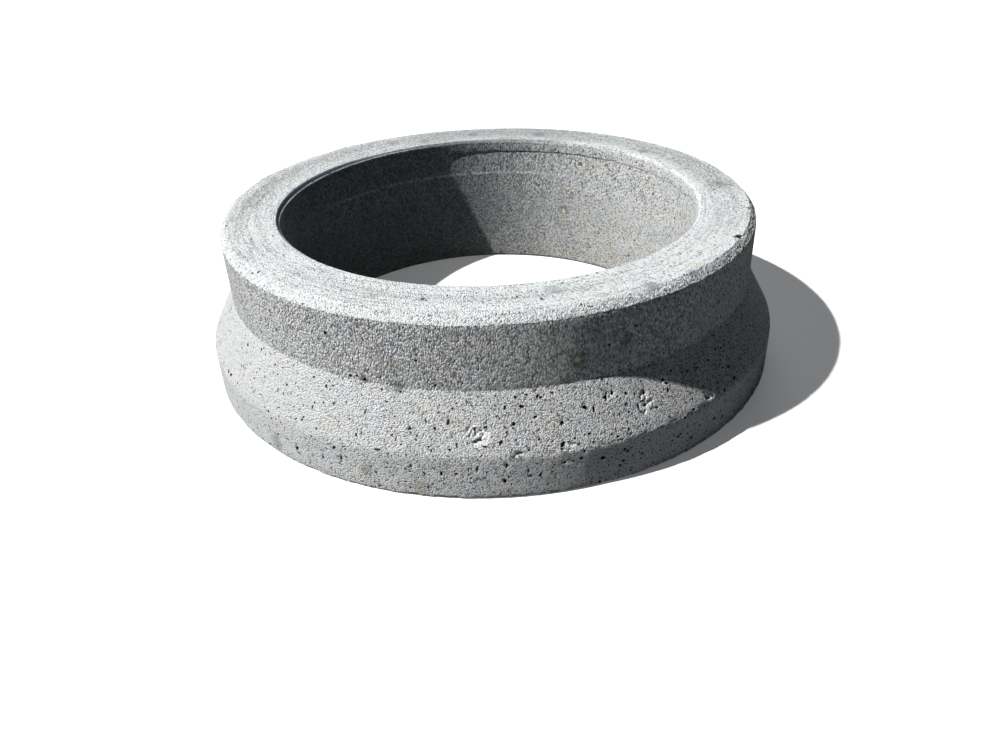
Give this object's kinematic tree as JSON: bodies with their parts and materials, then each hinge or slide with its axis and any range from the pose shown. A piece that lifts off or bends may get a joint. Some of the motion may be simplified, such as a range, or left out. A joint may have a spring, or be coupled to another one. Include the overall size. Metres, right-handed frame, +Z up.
{
  "type": "precast manhole cone",
  "caption": "Short precast concrete manhole cone with a round access opening, a splayed base and a flat bearing top.",
  "frame": {"origin": "centre of the underside, on the axis of the opening", "axes": "+Z up along the axis of the opening, from the wide base to the narrower bearing top"},
  "size_m": [0.8419, 0.842, 0.222],
  "materials": {
    "concrete": "dry-cast grey concrete: matt, finely sandy, pitted with bug holes, trowel rings on the top"
  },
  "bodies": {
    "root": {"cone_body": "concrete"}
  },
  "joints": []
}
